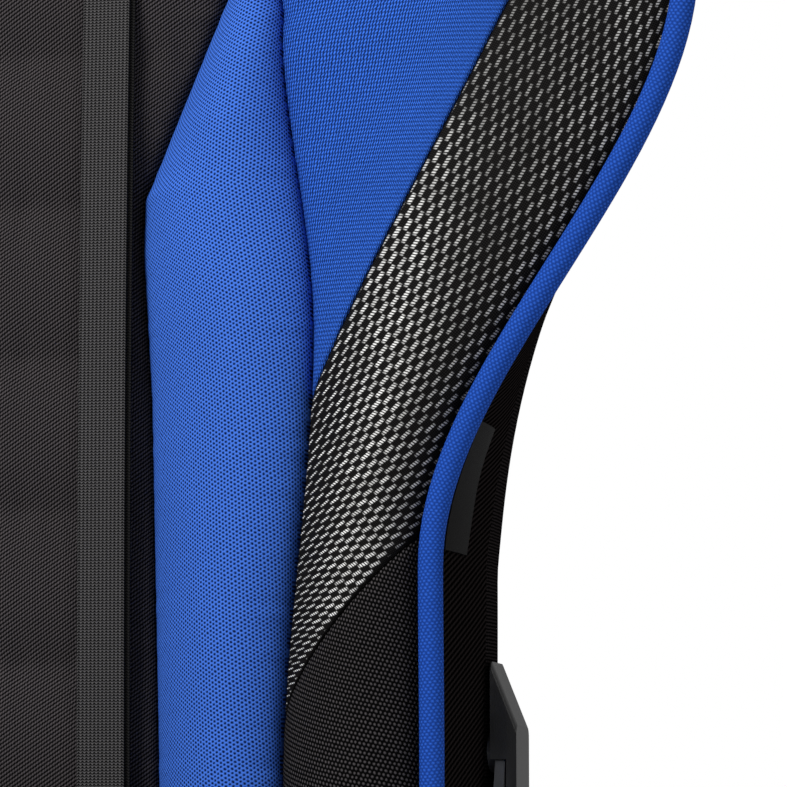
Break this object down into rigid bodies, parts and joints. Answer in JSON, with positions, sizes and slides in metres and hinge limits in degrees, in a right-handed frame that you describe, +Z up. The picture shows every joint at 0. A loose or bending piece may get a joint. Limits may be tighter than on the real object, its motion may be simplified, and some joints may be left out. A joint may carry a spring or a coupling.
{
  "type": "reclining bucket seat",
  "caption": "Winged, bolstered seat with knitted and mesh panels, welted edge, harness openings, reclining backrest on side hinges and a floor rail base.",
  "frame": {"origin": "centre of the four mounting holes, on the underside of the base rails", "axes": "+Z up, -Y is the way the occupant faces, +X is the occupant's left"},
  "size_m": [0.6236, 0.6971, 0.9804],
  "materials": {
    "frame_steel": "satin powder coat",
    "hinge_steel": "satin powder coat",
    "zinc_bolts": "zinc plated",
    "black_screws": "black oxide",
    "hinge_plastic": "fine moulded grain",
    "grip_rubber": "matt",
    "trim_plastic": "fine moulded grain",
    "foam": "open foam",
    "webbing": "woven",
    "elastic": "ribbed elastic",
    "centre_fabric": "diagonal twill",
    "blue_knit": "spacer knit",
    "mesh_fabric": "spacer mesh with bright threads",
    "plain_fabric": "close weave",
    "blue_welt": "knitted welt",
    "woven_tab": "satin tab"
  },
  "bodies": {
    "seat_base": {"base_rail_left": "frame_steel", "base_rail_right": "frame_steel", "seat_frame": "frame_steel", "rail_bolts": "zinc_bolts", "seat_webbing": "webbing", "seat_foam": "foam", "seat_centre_pad": "centre_fabric", "seat_bolster_left": "blue_knit", "seat_bolster_right": "blue_knit", "seat_skirt": "plain_fabric", "seat_piping": "blue_welt", "hinge_bracket_left": "hinge_steel", "hinge_bracket_right": "hinge_steel", "bracket_bolts": "zinc_bolts", "pivot_bolts": "zinc_bolts", "hinge_cover_lower_left": "hinge_plastic", "hinge_cover_lower_right": "hinge_plastic", "cover_screws_lower": "black_screws", "lever_spring": "zinc_bolts"},
    "backrest": {"back_frame": "frame_steel", "head_frame": "frame_steel", "back_webbing": "webbing", "back_core": "foam", "back_panel": "plain_fabric", "panel_screws": "black_screws", "side_panel_left": "plain_fabric", "side_panel_right": "plain_fabric", "centre_pad": "centre_fabric", "bolster_left": "blue_knit", "bolster_right": "blue_knit", "wing_blue_left": "blue_knit", "wing_blue_right": "blue_knit", "wing_mesh_left": "mesh_fabric", "wing_mesh_right": "mesh_fabric", "wing_lower_left": "plain_fabric", "wing_lower_right": "plain_fabric", "back_piping": "blue_welt", "head_pad": "centre_fabric", "neck_pad": "centre_fabric", "harness_bezel_left": "trim_plastic", "harness_bezel_right": "trim_plastic", "strap_left": "elastic", "strap_right": "elastic", "strap_buckles": "trim_plastic", "side_label": "woven_tab", "back_arm_left": "hinge_steel", "back_arm_right": "hinge_steel", "arm_bolts": "zinc_bolts", "hinge_cover_upper_left": "hinge_plastic", "hinge_cover_upper_right": "hinge_plastic", "cover_screws_upper": "black_screws"},
    "recline_lever": {"lever_shaft": "zinc_bolts", "lever_arm": "hinge_plastic", "lever_grip": "grip_rubber"},
    "lumbar_cushion": {"lumbar_cushion": "centre_fabric"}
  },
  "joints": [
    {"name": "recline", "type": "hinge", "parent": "seat_base", "child": "backrest", "pos_m": [0, 0.235, 0.15], "axis": [-1, 0, 0], "range_deg": [-8, 57]},
    {"name": "lever_pull", "type": "hinge", "parent": "seat_base", "child": "recline_lever", "pos_m": [-0.21, 0.187, 0.12], "axis": [-1, 0, 0], "range_deg": [0, 20], "stiffness_Nm_per_rad": 1},
    {"name": "lumbar_slide", "type": "slide", "parent": "backrest", "child": "lumbar_cushion", "axis": [0, 0.1392, 0.9903], "range_m": [0, 0.08]}
  ]
}
